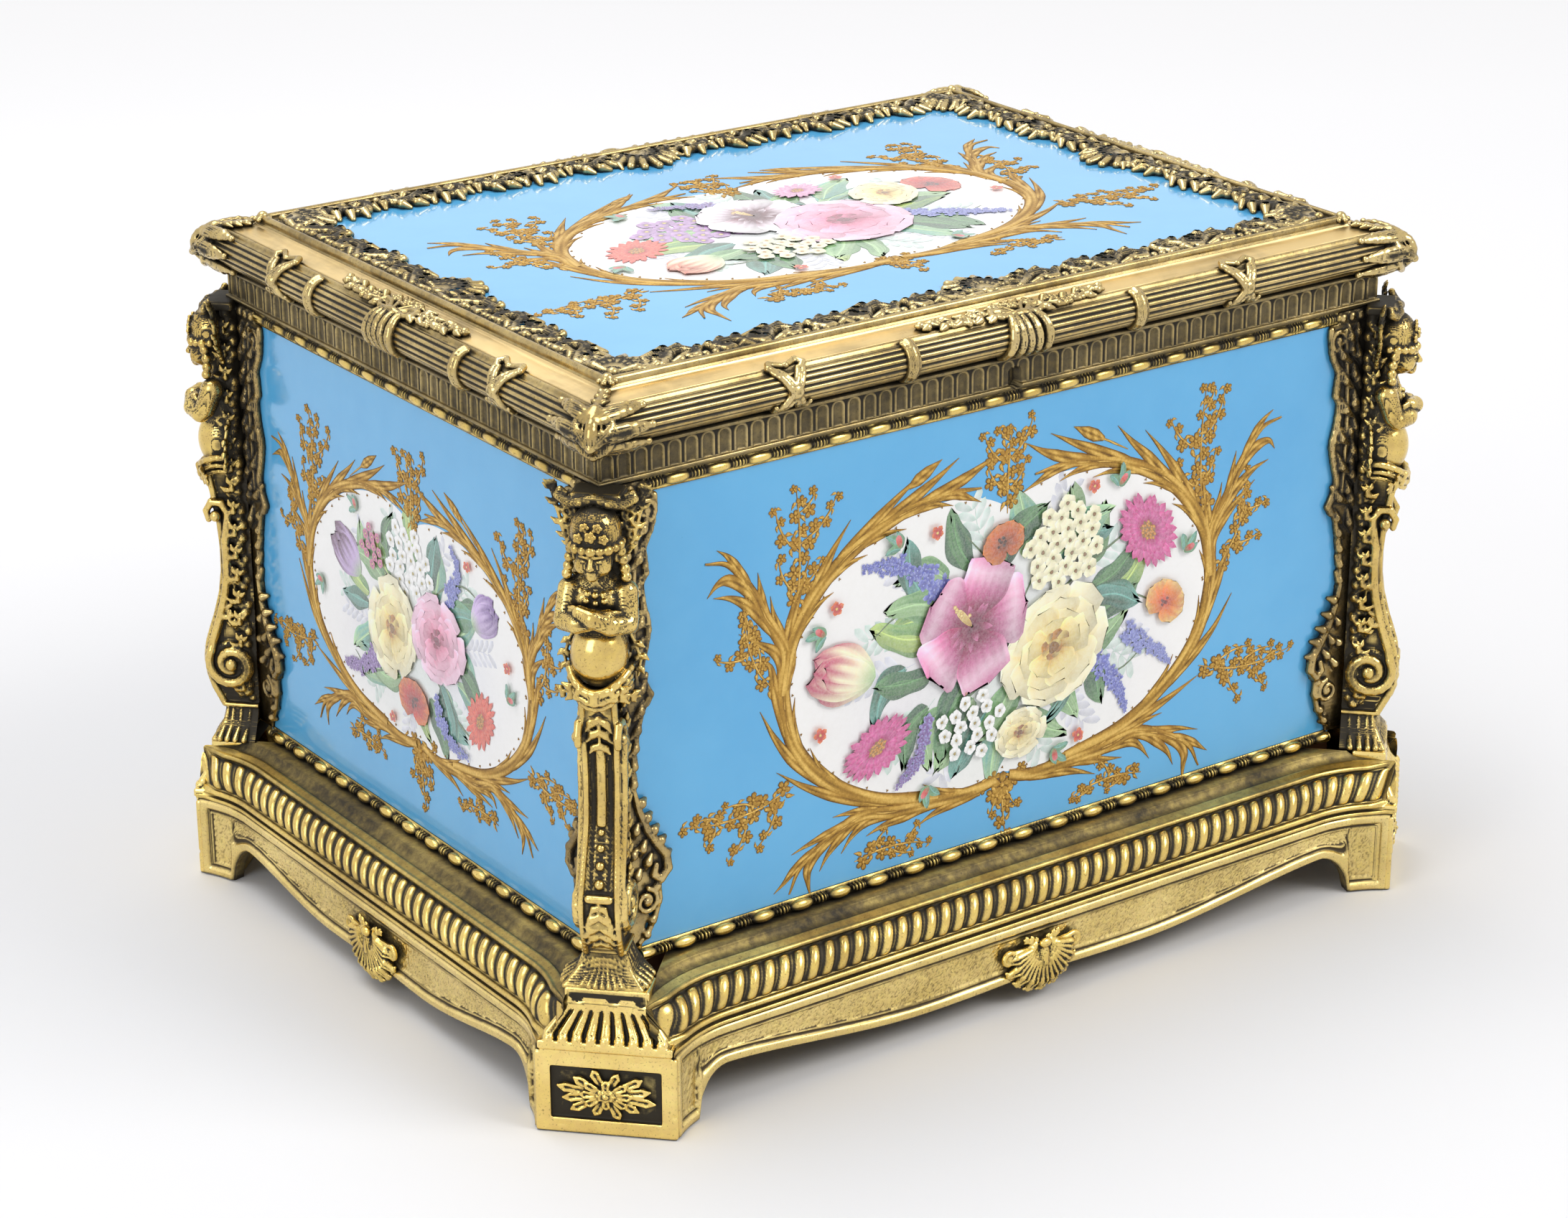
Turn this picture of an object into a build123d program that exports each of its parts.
from build123d import *
import math
import os

# Jewelry casket of porcelain plaques in gilt bronze mounts, closed and standing on its feet.
# Millimetres. Origin under the middle of the casket on the table, +Z up, the lock side faces -Y.
# A moulding is placed by its offset t: it lies t from the middle front and back, t + LONG_EXTRA at
# the ends.

# Plan of the carcass
CARCASS_HALF_DEPTH = 106.0      # outer face of the wooden boards
LONG_EXTRA = 38.5               # how much longer each half side is than each half depth
BOARD_THICKNESS = 8.0
LINING_THICKNESS = 1.8
PLAQUE_THICKNESS = 4.0
FLOOR_THICKNESS = 8.0
FLOOR_PAD_THICKNESS = 7.5
FLOOR_PAD_CROWN = 1.5
SOFT_CLEARANCE = 0.3            # gap left round soft pads

# Heights of the body
APRON_TOP = 28.2
APRON_FACE = 24.2               # front of the apron, out from the carcass
APRON_THICKNESS = 5.2
APRON_BORDER = 3.8              # raised border round the recessed field
APRON_RECESS = 1.1
PLINTH_HEIGHT = 18.4            # base moulding above the apron
PLINTH_FLANGE = 10.0            # flange that carries the floor board
PLINTH_FLANGE_THICKNESS = 1.5
PLINTH_WALL = 3.0               # cast metal left behind the moulding, which is hollow at the back
PLAQUE_HEIGHT = 152.8
FRIEZE_HEIGHT = 12.4
TOP_FLANGE_THICKNESS = 1.5
BEAD_STRIP_HEIGHT = 4.3
BEAD_STRIP_DEPTH = 2.0
LOWER_BEAD_DEPTH = 3.2

# Feet, set across the corners
FOOT_INSET_X = 8.1              # middle of the foot's front face, in from the end apron's face
FOOT_INSET_Y = 6.2              # the same, in from the front apron's face
FOOT_WIDTH = 43.5
FOOT_DEPTH = 15.0
FOOT_HEIGHT = 27.3
FLARE_RADIUS = 40.0             # hollow curve in plan that leads the base out to the feet
FOOT_LANDING = 13.0             # length of apron beside a foot that stands on the table
ARCH_WIDTH = 11.5               # little arch beside the landing
ARCH_HEIGHT = 14.5
APRON_WAIST = 7.6               # lowest part of the apron's curved edge above the table
FOOT_PANEL_BORDER = 5.0
FOOT_PANEL_RECESS = 1.4
LIP_HEIGHT = 3.5
LIP_OUT = 0.8                   # how far the lip stands out past the foot's face
LIP_SIDE = 1.2                  # how far the lip's ends lie in from the foot's sides
LEAF_COVE_HEIGHT = 9.2
COVE_SETBACK = 4.5              # how far the cove draws back from the foot's face
BAND_WIDTH = 27.0
BAND_OUT = 0.5                  # how far the band stands out past the top of the cove

ROSETTE_PETALS = 12
ROSETTE_PLAY = 0.6              # room between the petals and the panel's border
ROSETTE_THICKNESS = 1.8
ROSETTE_BOSS = 2.6
ROSETTE_VALLEY = 0.66           # how far in the notch between two petals lies, of the petal length

# Shell under the middle of each apron
SHELL_RADIUS = 17.5
SHELL_LOBES = 7
SHELL_THICKNESS = 3.0
SHELL_TOP = 20.0                # height of the shell's hinge point

# Corner figures
FLANGE_THICKNESS = 2.0          # leaf flanges that lap over the plaques
FLANGE_WIDTH = 14.5
CORNER_POST = 8.0               # bronze in the corner between the plaque edges
PLAQUE_PLAY = 0.2               # room between a plaque edge and the corner post
CONSOLE_WIDTH = 10.4
LOWER_VOLUTE_RADIUS = 8.6
UPPER_VOLUTE_RADIUS = 4.4
VOLUTE_SIDE = 1.8               # how far a volute stands out from the console's side
SPINE_DEPTH = 5.0               # rib up the back of the figure
SPINE_KEY = 1.5                 # half width of the rib that ties the spine into the corner post
BELL_HEIGHT = 11.0
BELLY_RADIUS = 8.4
HEAD_RADIUS = 8.3
ARM_RADIUS = 2.9
SHOULDER_HALF_WIDTH = 8.4

# Lid
LID_GAP = 0.4                   # daylight between lid and body
LID_FRAME_HEIGHT = 16.8         # from the lid's underside to the top of the rim fillet
RIM_INSET = 6.2                 # rim fillet, in from the porcelain's outer face
RIM_WIDTH = 2.2
LID_FLANGE = 3.0                # ledge inside the frame that carries the lid board
LID_FLANGE_THICKNESS = 2.0
LID_BOARD_THICKNESS = 8.0
LID_INSET = 6.5                 # lid board edge, inside the carcass face
BORDER_WIDTH = 10.4             # scroll border over the edge of the lid plaque
BORDER_THICKNESS = 2.2
LID_PAD_THICKNESS = 4.6
LID_PAD_INSET = 11.5
CARTOUCHE_RADIUS = 9.0
LEAF_THICKNESS = 1.2
LEAF_REACH = 21.0
RIBBON_THICKNESS = 0.9
RING_WIDTH = 3.2
TIE_WIDTH = 11.0
BOW_WIDTH = 22.0
FRONT_RIBBONS = ((87.0, TIE_WIDTH), (44.0, RING_WIDTH))
SIDE_RIBBONS = ((67.0, TIE_WIDTH), (44.0, RING_WIDTH))

# Hinges
HINGE_X = 65.5
HINGE_SETBACK = 9.6             # pin centre, out from the carcass face
KNUCKLE_RADIUS = 2.4
KNUCKLE_LENGTH = 10.0
KNUCKLE_GAP = 0.35
PIN_RADIUS = 1.2
PIN_PLAY = 0.05
LEAF_PLATE = 1.2
LEAF_INNER = 3.0                # inner edge of the leaves, inside the carcass face
NOTCH_PLAY = 0.5                # room round a turning knuckle

# Lock
LOCK_HALF_LENGTH = 28.0
LOCK_WIDTH = 6.8
LOCK_DEPTH = 15.0
LOCK_WALL = 0.8
LOCK_PLATE_OVERHANG = 5.0
LOCK_INSET = 0.4                # case back, behind the board's outer face
KEY_RADIUS = 1.6
KEY_SLOT_WIDTH = 1.6
KEY_DROP = 6.9                  # key centre, below the body's top edge
KEY_SLOT_LENGTH = 4.6
BOLT_TRAVEL = 5.0
BOLT_THICKNESS = 2.0
BOLT_PLAY = 0.3
STAPLE_X = 15.0
STAPLE_HALF = 1.8
STAPLE_DEPTH = 9.8
EYE_HEIGHT = 3.4
EYE_WIDTH = 3.0
STAPLE_WIDTH = 4.4

# Screws
WOOD_SCREW_RADIUS = 1.2
WOOD_SCREW_HEAD = 2.2
WOOD_SCREW_HEAD_HEIGHT = 1.0
WOOD_SCREW_LENGTH = 7.0
STUD_RADIUS = 1.5
STUD_HEAD_RADIUS = 2.6
STUD_HEAD_HEIGHT = 2.0
STUD_LENGTH = 19.0
STUD_SHARE = 0.2                # how far from the ends of the porcelain the studs sit
BASE_SCREW_SHARE = 0.48         # how far out from the middle the base screws sit

# Offsets and heights that follow
T_BOARD = CARCASS_HALF_DEPTH
T_INSIDE = T_BOARD - BOARD_THICKNESS
T_LINING = T_INSIDE - LINING_THICKNESS
T_FACE = T_BOARD + PLAQUE_THICKNESS
T_APRON = T_BOARD + APRON_FACE
FOOT_X = T_APRON + LONG_EXTRA - FOOT_INSET_X
FOOT_Y = T_APRON - FOOT_INSET_Y
Z_PLINTH = APRON_TOP
Z_SEAT = APRON_TOP + PLINTH_HEIGHT
Z_FRIEZE = Z_SEAT + PLAQUE_HEIGHT + PLAQUE_PLAY
Z_BODY_TOP = Z_FRIEZE + FRIEZE_HEIGHT
Z_BOARD_TOP = Z_BODY_TOP - TOP_FLANGE_THICKNESS
Z_LID = Z_BODY_TOP + LID_GAP
Z_RIM = Z_LID + LID_FRAME_HEIGHT
Z_LID_BOARD = Z_LID + LID_FLANGE_THICKNESS
Z_LID_PLAQUE = Z_LID_BOARD + LID_BOARD_THICKNESS
Z_LID_TOP = Z_LID_PLAQUE + PLAQUE_THICKNESS
T_LID = T_BOARD - LID_INSET
HINGE_Y = T_BOARD + HINGE_SETBACK
HINGE_Z = (Z_BODY_TOP + Z_LID) / 2
KEY_Z = Z_BODY_TOP - KEY_DROP

SIDES = ("front", "right", "back", "left")
CORNERS = {"front_right": (1, -1), "back_right": (1, 1), "back_left": (-1, 1), "front_left": (-1, -1)}
UP = (0, 0, 1)
ALONG = (1, 0, 0)


def shape(path, place):
    """Face inside a closed path; an entry (a, b, ma, mb) is an arc to (a, b) through (ma, mb)."""
    edges = []
    previous = path[-1][:2]
    for entry in path:
        end = entry[:2]
        if len(entry) == 4:
            edges.append(ThreePointArc(place(*previous), place(*entry[2:]), place(*end)))
        else:
            edges.append(Line(place(*previous), place(*end)))
        previous = end
    return make_face(edges)


def largest(solid):
    """The one big piece that is left when a cut also leaves crumbs."""
    return max(solid.solids(), key=lambda piece: piece.volume)


def block(low, high):
    """Box between two corner points."""
    size = [high[i] - low[i] for i in range(3)]
    middle = [(high[i] + low[i]) / 2 for i in range(3)]
    return Pos(*middle) * Box(*size)


def prism(points, low, high):
    """Upright prism over a plan polygon."""
    face = shape(points, lambda x, y: (x, y, low))
    return extrude(face, amount=high - low, dir=UP)


def reach(side):
    """Extra distance outward and extra half-length of a side, both added to its offset t."""
    if side in ("front", "back"):
        return 0.0, LONG_EXTRA
    return LONG_EXTRA, 0.0


def turn(solid, side):
    """Swing a piece made for the front round to its own side."""
    return Rot(0, 0, 90 * SIDES.index(side)) * solid


def heights(profile):
    """Lowest and highest value of a profile, its arcs included."""
    values = [entry[i] for entry in profile for i in (1, 3) if i < len(entry)]
    return min(values), max(values)


def offsets(profile):
    """Least and greatest offset of a profile, its arcs included."""
    values = [entry[i] for entry in profile for i in (0, 2) if i < len(entry)]
    return min(values), max(values)


def bar(profile, side, half_length):
    """Square-ended length of moulding on one side."""
    outward = reach(side)[0]
    face = shape(profile, lambda t, z: (0, -(t + outward), z))
    return turn(extrude(face, amount=half_length, dir=ALONG, both=True), side)


def mitred(profile, side):
    """Moulding along one whole side, mitred at both ends."""
    outward, extra = reach(side)
    low, high = heights(profile)
    near, far = offsets(profile)
    face = shape(profile, lambda t, z: (0, -(t + outward), z))
    length = extrude(face, amount=far + extra + 1, dir=ALONG, both=True)
    near -= 1
    far += 1
    corners = [(-near - extra, -near - outward), (near + extra, -near - outward),
               (far + extra, -far - outward), (-far - extra, -far - outward)]
    return turn(length & prism(corners, low - 1, high + 1), side)


def flared(profile, side):
    """Moulding whose ends sweep outward in plan to meet the feet, cut on the corner lines."""
    outward, extra = reach(side)
    half_face = FOOT_WIDTH / 2 / math.sqrt(2)
    if outward:
        foot_along, foot_out = FOOT_Y, FOOT_X
    else:
        foot_along, foot_out = FOOT_X, FOOT_Y
    run_end = foot_along - half_face
    rise = foot_out + half_face - T_APRON - outward
    run = math.sqrt(FLARE_RADIUS ** 2 - (FLARE_RADIUS - rise) ** 2)
    straight = run_end - run
    sweep_angle = math.degrees(math.asin(run / FLARE_RADIUS))
    centre_y = -(T_APRON + outward) - FLARE_RADIUS
    solid = extrude(shape(profile, lambda t, z: (0, -(t + outward), z)),
                    amount=straight, dir=ALONG, both=True)
    for sign in (-1, 1):
        end_face = shape(profile, lambda t, z: (sign * straight, -(t + outward), z))
        pivot = Axis((sign * straight, centre_y, 0), (0, 0, -sign))
        solid += revolve(end_face, axis=pivot, revolution_arc=sweep_angle)
    low, high = heights(profile)
    inner = T_LINING
    start = (inner + extra, inner + outward)
    slope = (foot_along - start[0]) / (foot_out - start[1])
    far = foot_out + FOOT_DEPTH
    far_along = start[0] + slope * (far - start[1])
    corners = [(-start[0], -start[1]), (start[0], -start[1]), (far_along, -far), (-far_along, -far)]
    return turn(solid & prism(corners, low - 1, high + 1), side)


def face_corner(name, solid):
    """Turn a piece made at the origin, facing -Y, so that it faces out over a corner."""
    x, y = CORNERS[name]
    return Rot(0, 0, math.degrees(math.atan2(x, -y))) * solid


def at_foot(name, solid):
    """Place a piece made at the origin, facing -Y, against the front face of a foot."""
    x, y = CORNERS[name]
    return Pos(x * FOOT_X, y * FOOT_Y, 0) * face_corner(name, solid)


def at_corner(name, solid):
    """Place a piece made at the origin, facing -Y, at a corner edge of the porcelain body."""
    x, y = CORNERS[name]
    return Pos(x * (T_FACE + LONG_EXTRA), y * T_FACE, 0) * face_corner(name, solid)


def mirror_to(name, solid):
    """Copy a piece modelled at the front right corner to another corner."""
    x, y = CORNERS[name]
    if x < 0:
        solid = mirror(solid, about=Plane.YZ)
    if y > 0:
        solid = mirror(solid, about=Plane.XZ)
    return solid


def rectangle(half_wide, out_low, out_high, z):
    """Level rectangle in a corner frame; distances outward are positive."""
    points = [(-half_wide, -out_low), (half_wide, -out_low), (half_wide, -out_high), (-half_wide, -out_high)]
    return shape(points, lambda x, y: (x, y, z))


def wood_screw(x, y, z, direction):
    """Countersunk wood screw whose flat head lies at (x, y, z); direction is +1 up, -1 down."""
    head = Pos(0, 0, WOOD_SCREW_HEAD_HEIGHT / 2) * Cone(
        WOOD_SCREW_HEAD, WOOD_SCREW_RADIUS, WOOD_SCREW_HEAD_HEIGHT)
    shank = Pos(0, 0, WOOD_SCREW_LENGTH / 2) * Cylinder(WOOD_SCREW_RADIUS, WOOD_SCREW_LENGTH)
    screw = head + shank
    if direction < 0:
        screw = Rot(180, 0, 0) * screw
    return Pos(x, y, z) * screw


def corner_stud(name, z):
    """Screw that draws a corner figure against the carcass, along the diagonal."""
    out_end = STUD_LENGTH - BOARD_THICKNESS * 2
    stud = Pos(0, -out_end + STUD_LENGTH / 2, z) * Rot(90, 0, 0) * Cylinder(STUD_RADIUS, STUD_LENGTH)
    head_middle = STUD_LENGTH - out_end - STUD_HEAD_HEIGHT / 2
    head = Pos(0, head_middle, z) * Rot(90, 0, 0) * Cylinder(STUD_HEAD_RADIUS, STUD_HEAD_HEIGHT)
    return at_corner(name, stud + head)


# Cross sections, as (t, z)
def rectangle_profile(t_low, t_high, z_low, z_high):
    return [(t_low, z_low), (t_high, z_low), (t_high, z_high), (t_low, z_high)]


def plinth_profile():
    """Base moulding, hollow at the back, with a flange under the floor board."""
    t, z, h = T_FACE, Z_PLINTH, PLINTH_HEIGHT
    face = T_APRON
    back = face - APRON_THICKNESS
    cove_out, cove_up = t + 0.717 * h, z + 0.717 * h
    step_out = t + 0.739 * h
    hollow_out, hollow_in = t + 0.80 * h, t + 0.50 * h
    return [(T_BOARD - PLINTH_FLANGE, z - PLINTH_FLANGE_THICKNESS), (back, z - PLINTH_FLANGE_THICKNESS),
            (back, z), (face, z), (face, z + 0.076 * h), (face - 0.087 * h, z + 0.076 * h),
            (face - 0.087 * h, z + 0.12 * h), (face - 0.033 * h, z + 0.12 * h),
            (face - 0.033 * h, z + 0.228 * h), (face - 0.098 * h, z + 0.228 * h),
            (cove_out, cove_up, t + 0.989 * h, z + 0.522 * h), (step_out, cove_up),
            (step_out, z + 0.837 * h), (t + 0.641 * h, z + 0.837 * h),
            (t + 0.380 * h, Z_SEAT, t + 0.446 * h, z + 0.880 * h), (T_BOARD, Z_SEAT),
            (T_BOARD, Z_SEAT - PLINTH_WALL), (hollow_in, Z_SEAT - PLINTH_WALL),
            (hollow_out, z + PLINTH_WALL), (T_BOARD, z + PLINTH_WALL), (T_BOARD, z),
            (T_BOARD - PLINTH_FLANGE, z)]


def frieze_profile():
    """Fluted band over the porcelain, with a bead below it and a flared lip above."""
    t, z, h = T_FACE, Z_FRIEZE, FRIEZE_HEIGHT
    top = Z_BODY_TOP
    return [(T_BOARD, z), (t + 0.081 * h, z), (t + 0.081 * h, z + 0.081 * h),
            (t + 0.194 * h, z + 0.081 * h), (t + 0.194 * h, z + 0.177 * h),
            (t + 0.145 * h, z + 0.177 * h), (t + 0.145 * h, top - 0.274 * h),
            (t + 0.347 * h, top - 0.194 * h, t + 0.210 * h, top - 0.218 * h),
            (t + 0.347 * h, top), (T_LINING, top), (T_LINING, Z_BOARD_TOP), (T_BOARD, Z_BOARD_TOP)]


TORUS_LOW = (T_FACE + 0.214 * LID_FRAME_HEIGHT, Z_LID)
TORUS_MIDDLE = (T_FACE + 0.506 * LID_FRAME_HEIGHT, Z_LID + 0.393 * LID_FRAME_HEIGHT)
TORUS_HIGH = (T_FACE + 0.131 * LID_FRAME_HEIGHT, Z_LID + 0.714 * LID_FRAME_HEIGHT)


def lid_profile():
    """Lid frame: round torus, sloped band and standing rim fillet, with a ledge for the board."""
    rim_out = T_FACE - RIM_INSET
    rim_in = rim_out - RIM_WIDTH
    slope_out = rim_out + 0.03 * LID_FRAME_HEIGHT
    slope_top = Z_LID + 0.857 * LID_FRAME_HEIGHT
    return [(T_LID - LID_FLANGE, Z_LID), TORUS_LOW, TORUS_HIGH + TORUS_MIDDLE,
            (slope_out, Z_LID + 0.81 * LID_FRAME_HEIGHT), (slope_out, slope_top), (rim_out, slope_top),
            (rim_out, Z_RIM), (rim_in, Z_RIM), (rim_in, Z_LID_TOP), (T_LID, Z_LID_TOP),
            (T_LID, Z_LID_BOARD), (T_LID - LID_FLANGE, Z_LID_BOARD)]


def wrap_profile(thickness):
    """Thin skin laid over the lid's torus."""
    return [TORUS_LOW, TORUS_HIGH + TORUS_MIDDLE,
            (TORUS_HIGH[0] + thickness * 0.4, TORUS_HIGH[1] + thickness),
            (TORUS_LOW[0] + thickness, TORUS_LOW[1],
             TORUS_MIDDLE[0] + thickness, TORUS_MIDDLE[1])]


# Feet
def foot():
    """Square foot with a framed panel, a lip, a hollow cove and the upright band over it."""
    lip_top = FOOT_HEIGHT + LIP_HEIGHT
    cove_top = lip_top + LEAF_COVE_HEIGHT
    half = FOOT_WIDTH / 2
    half_band = BAND_WIDTH / 2
    solid = block((-half, 0, 0), (half, FOOT_DEPTH, FOOT_HEIGHT))
    panel = half - FOOT_PANEL_BORDER
    solid -= block((-panel, -1, FOOT_PANEL_BORDER),
                   (panel, FOOT_PANEL_RECESS, FOOT_HEIGHT - FOOT_PANEL_BORDER))
    solid += block((-half + LIP_SIDE, -LIP_OUT, FOOT_HEIGHT), (half - LIP_SIDE, FOOT_DEPTH, lip_top))
    lower = rectangle(half - 2 * LIP_SIDE, -FOOT_DEPTH, 0, lip_top)
    upper = rectangle(half_band, -FOOT_DEPTH, -COVE_SETBACK, cove_top)
    solid += loft([lower, upper], ruled=True)
    solid += block((-half_band, COVE_SETBACK - BAND_OUT, cove_top), (half_band, FOOT_DEPTH, Z_SEAT))
    return solid


def foot_clearance():
    """Everything in front of a foot's upper stack, where the mouldings must stop."""
    lip_top = FOOT_HEIGHT + LIP_HEIGHT
    cove_top = lip_top + LEAF_COVE_HEIGHT
    wide = FOOT_WIDTH
    solid = block((-wide, -wide, 0), (wide, -LIP_OUT, FOOT_HEIGHT))
    solid += block((-wide, -wide, FOOT_HEIGHT), (wide, 0, lip_top))
    lower = rectangle(wide, 0, wide, lip_top)
    upper = rectangle(wide, -COVE_SETBACK, wide, cove_top)
    solid += loft([lower, upper], ruled=True)
    solid += block((-wide, -wide, cove_top), (wide, COVE_SETBACK, Z_SEAT + 1))
    return solid


def foot_rosette():
    """Raised flower that fills the panel on a foot."""
    long_radius = FOOT_WIDTH / 2 - FOOT_PANEL_BORDER - 2 * ROSETTE_PLAY
    short_radius = FOOT_HEIGHT / 2 - FOOT_PANEL_BORDER - ROSETTE_PLAY
    middle = FOOT_HEIGHT / 2
    path = []
    for i in range(2 * ROSETTE_PETALS):
        angle = math.pi * i / ROSETTE_PETALS
        share = 1.0 if i % 2 else ROSETTE_VALLEY
        path.append((share * long_radius * math.cos(angle), middle + share * short_radius * math.sin(angle)))
    face = shape(path, lambda x, z: (x, FOOT_PANEL_RECESS, z))
    flower = extrude(face, amount=ROSETTE_THICKNESS, dir=(0, -1, 0))
    boss = Pos(0, 0, middle) * Rot(90, 0, 0) * Cylinder(ROSETTE_BOSS, 1.3 * ROSETTE_THICKNESS)
    return flower + boss


# Aprons
def apron_edge(half_length, foot_end):
    """Lower edge of an apron from the right foot to the left one: arch, dip and middle."""
    ground = half_length - FOOT_LANDING
    crown = ground - ARCH_WIDTH
    slope_end = crown * 0.35
    right = [(foot_end, 0), (ground, 0),
             (crown, ARCH_HEIGHT, crown + ARCH_WIDTH * 0.3, ARCH_HEIGHT * 0.75),
             (slope_end, APRON_WAIST, (crown + slope_end) / 2, (ARCH_HEIGHT + APRON_WAIST) / 2 + 0.6),
             (0, APRON_WAIST + 1.2, slope_end / 2, APRON_WAIST + 0.2)]
    left = [(-slope_end, APRON_WAIST, -slope_end / 2, APRON_WAIST + 0.2),
            (-crown, ARCH_HEIGHT, -(crown + slope_end) / 2, (ARCH_HEIGHT + APRON_WAIST) / 2 + 0.6),
            (-ground, 0, -(crown + ARCH_WIDTH * 0.3), ARCH_HEIGHT * 0.75), (-foot_end, 0)]
    return right + left


def apron(side, feet):
    outward, extra = reach(side)
    half_face = FOOT_WIDTH / 2 / math.sqrt(2)
    half_length = (FOOT_Y if outward else FOOT_X) - half_face
    foot_end = half_length + FOOT_DEPTH
    slab = flared(rectangle_profile(T_APRON - APRON_THICKNESS, T_APRON, 0, APRON_TOP), side)
    edge = apron_edge(half_length, foot_end)
    outline = edge + [(-foot_end, APRON_TOP), (foot_end, APRON_TOP)]
    depth = T_APRON + LONG_EXTRA + FOOT_DEPTH
    cutter = extrude(shape(outline, lambda x, z: (x, 0, z)), amount=depth, dir=(0, -1, 0))
    solid = slab & turn(cutter, side)
    field = flared(rectangle_profile(T_APRON - APRON_RECESS, T_APRON + 1, 0, APRON_TOP), side)
    inner = [(half_length - FOOT_LANDING - ARCH_WIDTH, ARCH_HEIGHT + APRON_BORDER),
             (half_length * 0.36, APRON_WAIST + APRON_BORDER),
             (-half_length * 0.36, APRON_WAIST + APRON_BORDER),
             (-half_length + FOOT_LANDING + ARCH_WIDTH, ARCH_HEIGHT + APRON_BORDER),
             (-half_length + FOOT_LANDING + ARCH_WIDTH, APRON_TOP - APRON_BORDER),
             (half_length - FOOT_LANDING - ARCH_WIDTH, APRON_TOP - APRON_BORDER)]
    window = extrude(shape(inner, lambda x, z: (x, 0, z)), amount=depth, dir=(0, -1, 0))
    solid -= field & turn(window, side)
    for cutter in feet:
        solid -= cutter
    return largest(solid)


def apron_shell(side):
    """Scalloped shell on the middle of an apron, widest below."""
    spread = math.radians(72)
    step = 2 * spread / SHELL_LOBES
    path = [(0, SHELL_TOP)]
    for i in range(SHELL_LOBES + 1):
        angle = -spread + i * step
        length = SHELL_RADIUS * (0.82 + 0.10 * math.cos(angle))
        point = (length * math.sin(angle), SHELL_TOP - length * math.cos(angle))
        if i:
            tip = angle - step / 2
            far = SHELL_RADIUS * (0.88 + 0.12 * math.cos(tip))
            point += (far * math.sin(tip), SHELL_TOP - far * math.cos(tip))
        path.append(point)
    outward = reach(side)[0]
    face = shape(path, lambda x, z: (x, -(T_APRON + outward), z))
    return turn(extrude(face, amount=SHELL_THICKNESS, dir=(0, -1, 0)), side)


# Corner figures
def leaf_flange():
    """Leaf outline that laps over the front plaque, as (distance from the corner, height)."""
    low = Z_SEAT + BEAD_STRIP_HEIGHT
    tall = Z_FRIEZE - BEAD_STRIP_HEIGHT - low
    outline = [(-0.10, 0.0), (0.79, 0.0), (1.07, 0.083), (1.38, 0.145, 1.32, 0.100),
               (1.07, 0.229, 1.34, 0.187), (0.69, 0.360), (0.62, 0.471), (0.83, 0.519), (1.10, 0.564),
               (0.86, 0.623), (1.0, 0.720), (0.90, 0.817), (1.0, 0.900), (1.24, 0.945), (1.24, 1.0),
               (-0.10, 1.0)]
    scales = (FLANGE_WIDTH, tall, FLANGE_WIDTH, tall)
    starts = (0, low, 0, low)
    return [tuple(starts[i] + scales[i] * value for i, value in enumerate(entry)) for entry in outline]


def capsule(radius, length, turned):
    """Round bar between two balls that are a little fuller than the bar."""
    bar_solid = Cylinder(radius, length)
    for sign in (-1, 1):
        bar_solid += Pos(0, 0, sign * length / 2) * Sphere(radius * 1.04)
    return turned * bar_solid


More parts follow.
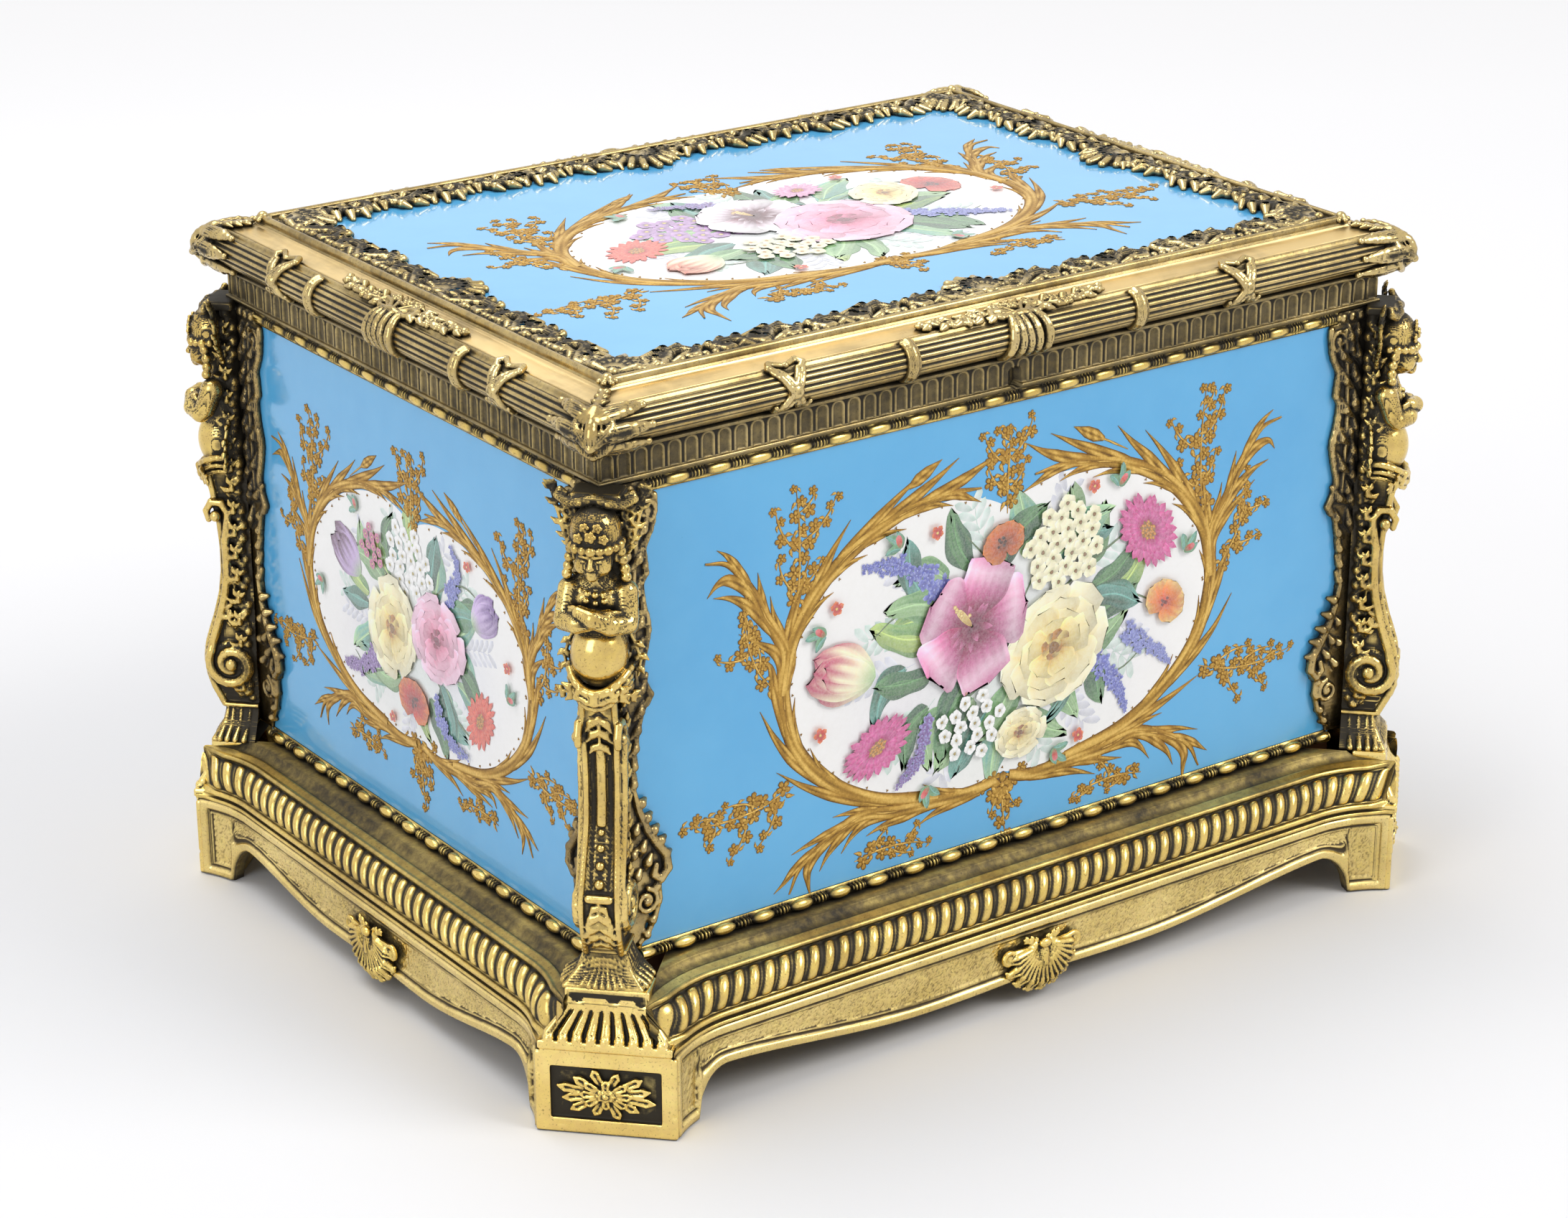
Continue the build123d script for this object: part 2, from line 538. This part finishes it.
def figure():
    """Child bust over a scrolled console, made at the front right corner of the body."""
    corner_x = T_FACE + LONG_EXTRA
    post_in = CORNER_POST - PLAQUE_PLAY
    flange = leaf_flange()
    front = shape(flange, lambda w, z: (corner_x - w, -T_FACE, z))
    solid = extrude(front, amount=FLANGE_THICKNESS, dir=(0, -1, 0))
    end = shape(flange, lambda w, z: (corner_x, -T_FACE + w, z))
    solid += extrude(end, amount=FLANGE_THICKNESS, dir=(1, 0, 0))
    solid += block((corner_x - post_in, -T_FACE, Z_SEAT), (corner_x, -T_BOARD, Z_FRIEZE))
    solid += block((corner_x - PLAQUE_THICKNESS, -T_FACE, Z_SEAT),
                   (corner_x, -T_FACE + post_in, Z_FRIEZE))

    # Widths go with the head's radius, heights with the height of the porcelain
    head = HEAD_RADIUS
    tall = Z_FRIEZE - Z_SEAT
    level = {"lower volute": 0.176, "belly of console": 0.183, "console waist": 0.275, "neck": 0.431,
             "upper volute": 0.510, "collar": 0.601, "belly": 0.673, "trunk": 0.719, "arms": 0.765,
             "elbows": 0.794, "shoulders": 0.810, "throat": 0.850, "face": 0.923}
    z = {word: Z_SEAT + share * tall for word, share in level.items()}
    half = CONSOLE_WIDTH / 2
    bell_top = Z_SEAT + BELL_HEIGHT
    bell_low = rectangle(1.57 * head, 0.06 * head, 1.69 * head, Z_SEAT)
    bell_high = rectangle(0.78 * head, 0.06 * head, 1.20 * head, bell_top)
    body = loft([bell_low, bell_high], ruled=True)
    side_view = [(0, Z_SEAT), (1.08 * head, Z_SEAT), (1.08 * head, bell_top),
                 (1.39 * head, bell_top + 0.3 * head),
                 (1.45 * head, z["console waist"], 1.93 * head, z["belly of console"]),
                 (1.33 * head, z["collar"], 1.01 * head, z["neck"]), (0, z["collar"])]
    body += extrude(shape(side_view, lambda out, up: (0, -out, up)), amount=half, dir=ALONG, both=True)
    volute_width = CONSOLE_WIDTH + 2 * VOLUTE_SIDE
    for radius, out, height in ((LOWER_VOLUTE_RADIUS, 0.72 * head, z["lower volute"]),
                                (UPPER_VOLUTE_RADIUS, 0.90 * head, z["upper volute"])):
        body += Pos(0, -out, height) * Rot(0, 90, 0) * Cylinder(radius, volute_width)
    collar_low = rectangle(0.72 * head, 0.06 * head, 1.39 * head, z["upper volute"])
    collar_high = rectangle(1.16 * head, 0.06 * head, 1.57 * head, z["collar"])
    body += loft([collar_low, collar_high], ruled=True)
    body += Pos(0, -0.75 * head, z["belly"]) * Sphere(BELLY_RADIUS)
    body += Pos(0, -0.54 * head, z["trunk"]) * Cylinder(0.89 * head, 2.4 * head)
    body += Pos(0, -1.2 * head, z["arms"]) * capsule(ARM_RADIUS, 2 * SHOULDER_HALF_WIDTH, Rot(0, 90, 0))
    for sign in (-1, 1):
        upper_arm = capsule(ARM_RADIUS, 1.3 * head, Rot(0, 0, 0))
        body += Pos(sign * SHOULDER_HALF_WIDTH, -0.8 * head, z["elbows"]) * upper_arm
    body += Pos(0, -0.63 * head, z["shoulders"]) * Cylinder(0.94 * head, 0.96 * head)
    body += Pos(0, -0.72 * head, z["throat"]) * Cylinder(0.48 * head, 0.96 * head)
    body += Pos(0, -1.06 * head, z["face"]) * Sphere(HEAD_RADIUS)
    body += block((-half, -SPINE_DEPTH, Z_SEAT), (half, 0, Z_FRIEZE))
    body += block((-SPINE_KEY, -SPINE_DEPTH / 2, Z_SEAT), (SPINE_KEY, 2 * SPINE_KEY, Z_FRIEZE))
    return solid + at_corner("front_right", body)


# Lid trims
def lid_wrap(side, middle, width, thickness):
    """Band of ribbon round the lid's torus, centred along a side."""
    band = bar(wrap_profile(thickness), side, width / 2)
    return turn(Pos(middle, 0, 0) * turn(band, {"front": "front", "back": "back",
                                                "left": "right", "right": "left"}[side]), side)


def lid_corner_leaf():
    """Leaf that wraps the corner of the torus at the front right."""
    skin = mitred(wrap_profile(LEAF_THICKNESS), "front") + mitred(wrap_profile(LEAF_THICKNESS), "right")
    x = TORUS_MIDDLE[0] + LONG_EXTRA + LEAF_THICKNESS
    y = TORUS_MIDDLE[0] + LEAF_THICKNESS
    wide = LEAF_REACH
    plan = [(x - wide, -y - 1), (x + 1, -y - 1), (x + 1, -y + wide), (x - wide * 0.55, -y + wide * 0.55)]
    return skin & prism(plan, Z_LID - 1, Z_RIM)


def border_piece(side):
    """Scroll border over the lid plaque, with a swelling in the middle and at each end."""
    outward, extra = reach(side)
    outer = T_FACE - 8.4
    strip = mitred(rectangle_profile(outer - BORDER_WIDTH, outer, Z_LID_TOP, Z_LID_TOP + BORDER_THICKNESS), side)
    inner_y = -(outer - BORDER_WIDTH + outward)
    boss = Pos(0, inner_y, Z_LID_TOP + BORDER_THICKNESS / 2) * Cylinder(CARTOUCHE_RADIUS, BORDER_THICKNESS)
    keep = block((-outer, -(outer + outward), Z_LID_TOP), (outer, 0, Z_LID_TOP + BORDER_THICKNESS))
    return strip + turn(boss & keep, side)


# Hinges
def knuckle(x, length, radius):
    return Pos(x, HINGE_Y, HINGE_Z) * Rot(0, 90, 0) * Cylinder(radius, length)


def hinge_plate(x, low, high):
    half = 1.5 * KNUCKLE_LENGTH
    return block((x - half, T_BOARD - LEAF_INNER, low), (x + half, HINGE_Y, high))


def hinge_bore(x):
    return knuckle(x, 4 * KNUCKLE_LENGTH, PIN_RADIUS + PIN_PLAY)


def body_hinge_leaf(x):
    """Lower leaf with the two outer knuckles."""
    solid = hinge_plate(x, Z_BODY_TOP - LEAF_PLATE, Z_BODY_TOP)
    solid -= knuckle(x, KNUCKLE_LENGTH + 2 * KNUCKLE_GAP, KNUCKLE_RADIUS + NOTCH_PLAY)
    for sign in (-1, 1):
        solid += knuckle(x + sign * KNUCKLE_LENGTH, KNUCKLE_LENGTH, KNUCKLE_RADIUS)
    return solid - hinge_bore(x)


def lid_hinge_leaf(x):
    """Upper leaf with the middle knuckle."""
    solid = hinge_plate(x, Z_LID, Z_LID + LEAF_PLATE)
    gap = KNUCKLE_LENGTH - KNUCKLE_GAP
    for sign in (-1, 1):
        solid -= knuckle(x + sign * 1.1 * KNUCKLE_LENGTH, 1.2 * KNUCKLE_LENGTH + 2 * KNUCKLE_GAP,
                         KNUCKLE_RADIUS + NOTCH_PLAY)
    solid += knuckle(x, gap, KNUCKLE_RADIUS)
    return solid - hinge_bore(x)


def hinge_notch(x, plate_low, plate_high):
    """Room cut in a rail for the leaf plate and all three knuckles."""
    room = knuckle(x, 3 * KNUCKLE_LENGTH + 2 * KNUCKLE_GAP, KNUCKLE_RADIUS + NOTCH_PLAY)
    return room + hinge_plate(x, plate_low, plate_high)


# Lock
LOCK_OUT = T_BOARD - LOCK_INSET
LOCK_IN = LOCK_OUT - LOCK_WIDTH
LOCK_MIDDLE = (LOCK_OUT + LOCK_IN) / 2
LOCK_FLOOR = Z_BOARD_TOP - LOCK_DEPTH
BAR_LOW = LOCK_FLOOR + LOCK_WALL + BOLT_PLAY
BAR_HIGH = KEY_Z - 5.0
EYE_LOW = KEY_Z - 0.6
PRONG_LOW = EYE_LOW + 0.6
PRONG_HIGH = EYE_LOW + EYE_HEIGHT - 0.6


def keyhole(y_near, y_far):
    """Round hole with a slot below it, cut from one depth to another."""
    depth = y_far - y_near
    middle = (y_far + y_near) / 2
    hole = Pos(0, middle, KEY_Z) * Rot(90, 0, 0) * Cylinder(KEY_RADIUS, depth)
    slot = block((-KEY_SLOT_WIDTH / 2, y_near, KEY_Z - KEY_SLOT_LENGTH), (KEY_SLOT_WIDTH / 2, y_far, KEY_Z))
    return hole + slot


def lock_case():
    outer = block((-LOCK_HALF_LENGTH, -LOCK_OUT, LOCK_FLOOR), (LOCK_HALF_LENGTH, -LOCK_IN, Z_BOARD_TOP))
    inner = block((-LOCK_HALF_LENGTH + LOCK_WALL, -LOCK_OUT + LOCK_WALL, LOCK_FLOOR + LOCK_WALL),
                  (LOCK_HALF_LENGTH - LOCK_WALL, -LOCK_IN - LOCK_WALL, Z_BOARD_TOP + 1))
    return outer - inner - keyhole(-LOCK_OUT - 1, -LOCK_OUT + LOCK_WALL)


def lock_plate():
    """Top plate of the lock, with a slot for each staple."""
    half = LOCK_HALF_LENGTH + LOCK_PLATE_OVERHANG
    plate = block((-half, -LOCK_OUT, Z_BOARD_TOP), (half, -LOCK_IN, Z_BODY_TOP))
    play = 0.6
    half_wide = STAPLE_WIDTH / 2 + 0.4
    for sign in (-1, 1):
        plate -= block((sign * STAPLE_X - STAPLE_HALF - play, -LOCK_MIDDLE - half_wide, Z_BOARD_TOP - 1),
                       (sign * STAPLE_X + STAPLE_HALF + play, -LOCK_MIDDLE + half_wide, Z_BODY_TOP + 1))
    return plate


def lock_bolt():
    """Sliding bar with two prongs that enter the staples."""
    y_low = -LOCK_MIDDLE - BOLT_THICKNESS / 2
    y_high = -LOCK_MIDDLE + BOLT_THICKNESS / 2
    tip = STAPLE_HALF + 0.4
    riser_back = tip + BOLT_TRAVEL + 2.4
    solid = block((-STAPLE_X - riser_back, y_low, BAR_LOW), (STAPLE_X - tip, y_high, BAR_HIGH))
    solid -= block((-2.0, y_low, BAR_HIGH - 1.0), (2.0, y_high, BAR_HIGH))
    for staple in (-STAPLE_X, STAPLE_X):
        back = staple - riser_back
        solid += block((back, y_low, BAR_LOW), (back + 2.0, y_high, PRONG_HIGH))
        solid += block((back, y_low, PRONG_LOW), (staple - tip, y_high, PRONG_HIGH))
    return solid


def lock_spring():
    """Leaf spring fixed to the case's end that lies along the top of the bolt."""
    y_low = -LOCK_MIDDLE - BOLT_THICKNESS / 2
    y_high = -LOCK_MIDDLE + BOLT_THICKNESS / 2
    end = LOCK_HALF_LENGTH - LOCK_WALL
    leaf = block((STAPLE_X - 2.0, y_low, BAR_HIGH + BOLT_PLAY), (end, y_high, BAR_HIGH + BOLT_PLAY + 0.5))
    foot_block = block((end - 1.5, y_low, BAR_LOW), (end, y_high, BAR_HIGH + BOLT_PLAY))
    return leaf + foot_block


def key_post():
    length = LOCK_WIDTH - LOCK_WALL - 1.0
    return Pos(0, -LOCK_IN - LOCK_WALL - length / 2, KEY_Z) * Rot(90, 0, 0) * Cylinder(0.8, length)


def lock_staples():
    """Plate under the lid with two eyed staples that drop into the lock."""
    half = STAPLE_X + 9.0
    plate = block((-half, -LOCK_OUT, Z_LID), (half, -LOCK_IN, Z_LID + LEAF_PLATE))
    for sign in (-1, 1):
        x = sign * STAPLE_X
        low = Z_LID - STAPLE_DEPTH
        staple = block((x - STAPLE_HALF, -LOCK_MIDDLE - STAPLE_WIDTH / 2, low),
                       (x + STAPLE_HALF, -LOCK_MIDDLE + STAPLE_WIDTH / 2, Z_LID))
        staple -= block((x - STAPLE_HALF, -LOCK_MIDDLE - EYE_WIDTH / 2, EYE_LOW),
                        (x + STAPLE_HALF, -LOCK_MIDDLE + EYE_WIDTH / 2, EYE_LOW + EYE_HEIGHT))
        plate += staple
    return plate


def build():
    """Every node of the casket: name to list of separate solids."""
    nodes = {}

    # Screws come first, because what they pass through is cut by them
    flange_middle = T_BOARD - PLINTH_FLANGE / 2
    flange_low = Z_PLINTH - PLINTH_FLANGE_THICKNESS
    base_screws = []
    for x_sign in (-1, 1):
        for y_sign in (-1, 1):
            across = x_sign * BASE_SCREW_SHARE * (T_BOARD + LONG_EXTRA)
            deep = y_sign * BASE_SCREW_SHARE * T_BOARD
            base_screws.append(wood_screw(across, y_sign * flange_middle, flange_low, 1))
            base_screws.append(wood_screw(x_sign * (flange_middle + LONG_EXTRA), deep, flange_low, 1))
    plate_middle = T_BOARD - LEAF_INNER + 3.4
    hinge_screws = []
    lid_screws = []
    for x_sign in (-1, 1):
        for shift in (-10.0, 10.0):
            x = x_sign * HINGE_X + shift
            hinge_screws.append(wood_screw(x, plate_middle, Z_BODY_TOP, -1))
            lid_screws.append(wood_screw(x, plate_middle, Z_LID, 1))
    lock_screws = [wood_screw(x, -LOCK_MIDDLE, Z_BODY_TOP, -1)
                   for x in (-LOCK_HALF_LENGTH - 2.4, LOCK_HALF_LENGTH + 2.4)]
    lid_screws += [wood_screw(x, -LOCK_MIDDLE, Z_LID, 1) for x in (-STAPLE_X - 6.4, STAPLE_X + 6.4)]
    stud_heights = (Z_SEAT + STUD_SHARE * PLAQUE_HEIGHT, Z_FRIEZE - STUD_SHARE * PLAQUE_HEIGHT)
    studs = [corner_stud(name, z) for name in CORNERS for z in stud_heights]

    # Feet and corner figures
    feet = {name: at_foot(name, foot()) for name in CORNERS}
    stops = [at_foot(name, foot_clearance()) for name in CORNERS]
    for name, solid in feet.items():
        nodes[name + "_foot"] = [solid]
    nodes["foot_rosettes"] = [at_foot(name, foot_rosette()) for name in CORNERS]
    model_figure = figure()
    for name in CORNERS:
        solid = mirror_to(name, model_figure)
        for stud in studs:
            solid -= stud
        nodes[name + "_figure"] = [solid]
    nodes["figure_screws"] = studs

    # Carcass, lining and porcelain
    floor_low = Z_PLINTH
    floor_high = floor_low + FLOOR_THICKNESS
    floor = block((-T_BOARD - LONG_EXTRA, -T_BOARD, floor_low), (T_BOARD + LONG_EXTRA, T_BOARD, floor_high))
    for screw in base_screws:
        floor -= screw
    nodes["floor_board"] = [floor]
    pad_edge = T_LINING - SOFT_CLEARANCE
    pad_low = floor_high
    pad_x = pad_edge + LONG_EXTRA
    pad = block((-pad_x, -pad_edge, pad_low), (pad_x, pad_edge, pad_low + FLOOR_PAD_THICKNESS - FLOOR_PAD_CROWN))
    crown_low = shape([(-pad_x, -pad_edge), (pad_x, -pad_edge), (pad_x, pad_edge), (-pad_x, pad_edge)],
                      lambda x, y: (x, y, pad_low + FLOOR_PAD_THICKNESS - FLOOR_PAD_CROWN))
    inset = 8.0
    crown_high = shape([(-pad_x + inset, -pad_edge + inset), (pad_x - inset, -pad_edge + inset),
                        (pad_x - inset, pad_edge - inset), (-pad_x + inset, pad_edge - inset)],
                       lambda x, y: (x, y, pad_low + FLOOR_PAD_THICKNESS))
    nodes["floor_pad"] = [pad + loft([crown_low, crown_high], ruled=True)]
    nodes["wall_linings"] = []
    nodes["lower_bead_strips"] = []
    nodes["upper_bead_strips"] = []
    nodes["apron_shells"] = []
    nodes["lid_border"] = []
    for side in SIDES:
        outward, extra = reach(side)
        lining_low = floor_high + SOFT_CLEARANCE
        lining = mitred(rectangle_profile(T_LINING, T_INSIDE, lining_low, Z_BOARD_TOP - SOFT_CLEARANCE), side)
        nodes["wall_linings"].append(lining)
        board = mitred(rectangle_profile(T_INSIDE, T_BOARD, floor_high, Z_BOARD_TOP), side)
        for cutter in studs + hinge_screws:
            board -= cutter
        if side == "front":
            mortise = block((-LOCK_HALF_LENGTH, -T_BOARD, LOCK_FLOOR), (LOCK_HALF_LENGTH, -LOCK_IN, Z_BOARD_TOP))
            board -= mortise
            for screw in lock_screws:
                board -= screw
        nodes[side + "_board"] = [board]
        plaque_half = T_FACE + extra - CORNER_POST
        plaque = bar(rectangle_profile(T_BOARD, T_FACE, Z_SEAT, Z_SEAT + PLAQUE_HEIGHT), side, plaque_half)
        nodes[side + "_plaque"] = [plaque]
        plinth = flared(plinth_profile(), side)
        for cutter in list(feet.values()) + stops:
            plinth -= cutter
        plinth = largest(plinth)
        for screw in base_screws:
            plinth -= screw
        nodes[side + "_plinth_moulding"] = [plinth]
        nodes[side + "_apron"] = [apron(side, list(feet.values()))]
        nodes["apron_shells"].append(apron_shell(side))
        frieze = mitred(frieze_profile(), side)
        if side == "front":
            half = LOCK_HALF_LENGTH + LOCK_PLATE_OVERHANG
            frieze -= block((-half, -LOCK_OUT, Z_BOARD_TOP), (half, -LOCK_IN, Z_BODY_TOP))
            frieze -= keyhole(-T_FACE - 10, -T_BOARD)
            for screw in lock_screws:
                frieze -= screw
        if side == "back":
            for x in (-HINGE_X, HINGE_X):
                frieze -= hinge_notch(x, Z_BODY_TOP - LEAF_PLATE, Z_BODY_TOP)
            for screw in hinge_screws:
                frieze -= screw
        nodes[side + "_frieze"] = [frieze]
        strip_half = T_FACE + extra - FLANGE_WIDTH
        lower = rectangle_profile(T_FACE, T_FACE + LOWER_BEAD_DEPTH, Z_SEAT, Z_SEAT + BEAD_STRIP_HEIGHT)
        nodes["lower_bead_strips"].append(bar(lower, side, strip_half))
        upper = rectangle_profile(T_FACE, T_FACE + BEAD_STRIP_DEPTH, Z_FRIEZE - BEAD_STRIP_HEIGHT, Z_FRIEZE)
        nodes["upper_bead_strips"].append(bar(upper, side, strip_half))

    # Lock and lower hinge leaves
    nodes["lock_case"] = [lock_case()]
    plate = lock_plate()
    for screw in lock_screws:
        plate -= screw
    nodes["lock_plate"] = [plate]
    nodes["lock_bolt"] = [lock_bolt()]
    nodes["lock_spring"] = [lock_spring()]
    nodes["key_post"] = [key_post()]
    for word, x in (("left", -HINGE_X), ("right", HINGE_X)):
        lower_leaf = body_hinge_leaf(x)
        for screw in hinge_screws:
            lower_leaf -= screw
        nodes[word + "_hinge_body_leaf"] = [lower_leaf]
        upper_leaf = lid_hinge_leaf(x)
        for screw in lid_screws:
            upper_leaf -= screw
        nodes[word + "_hinge_lid_leaf"] = [upper_leaf]
    nodes["hinge_pins"] = [knuckle(x, 3 * KNUCKLE_LENGTH, PIN_RADIUS) for x in (-HINGE_X, HINGE_X)]

    # Lid
    for side in SIDES:
        rail = mitred(lid_profile(), side)
        if side == "back":
            for x in (-HINGE_X, HINGE_X):
                rail -= hinge_notch(x, Z_LID, Z_LID + LEAF_PLATE)
        if side == "front":
            half = STAPLE_X + 9.0
            rail -= block((-half, -LOCK_OUT, Z_LID), (half, -LOCK_IN, Z_LID + LEAF_PLATE))
        for screw in lid_screws:
            rail -= screw
        nodes[side + "_lid_rail"] = [rail]
        nodes["lid_border"].append(border_piece(side))
    lid_x = T_LID + LONG_EXTRA
    nodes["lid_board"] = [block((-lid_x, -T_LID, Z_LID_BOARD), (lid_x, T_LID, Z_LID_PLAQUE))]
    nodes["lid_plaque"] = [block((-lid_x, -T_LID, Z_LID_PLAQUE), (lid_x, T_LID, Z_LID_TOP))]
    t_pad = T_BOARD - LID_PAD_INSET
    nodes["lid_pad"] = [block((-t_pad - LONG_EXTRA, -t_pad, Z_LID_BOARD - LID_PAD_THICKNESS),
                              (t_pad + LONG_EXTRA, t_pad, Z_LID_BOARD))]
    staples = lock_staples()
    for screw in lid_screws:
        staples -= screw
    nodes["lock_staples"] = [staples]
    leaf = lid_corner_leaf()
    nodes["lid_corner_leaves"] = [mirror_to(name, leaf) for name in CORNERS]
    nodes["lid_ribbons"] = []
    for side in SIDES:
        ribbons = FRONT_RIBBONS if side in ("front", "back") else SIDE_RIBBONS
        nodes["lid_ribbons"].append(lid_wrap(side, 0, BOW_WIDTH, RIBBON_THICKNESS))
        for middle, width in ribbons:
            for sign in (-1, 1):
                nodes["lid_ribbons"].append(lid_wrap(side, sign * middle, width, RIBBON_THICKNESS))
    nodes["base_screws"] = base_screws
    nodes["body_screws"] = hinge_screws + lock_screws
    nodes["lid_screws"] = lid_screws
    return nodes


os.makedirs("parts", exist_ok=True)
for node_name, solids in build().items():
    pieces = [piece for solid in solids for piece in solid.solids()]
    model = pieces[0] if len(pieces) == 1 else Compound(children=pieces)
    export_step(model, "parts/" + node_name + ".step")
    print(node_name, len(pieces))
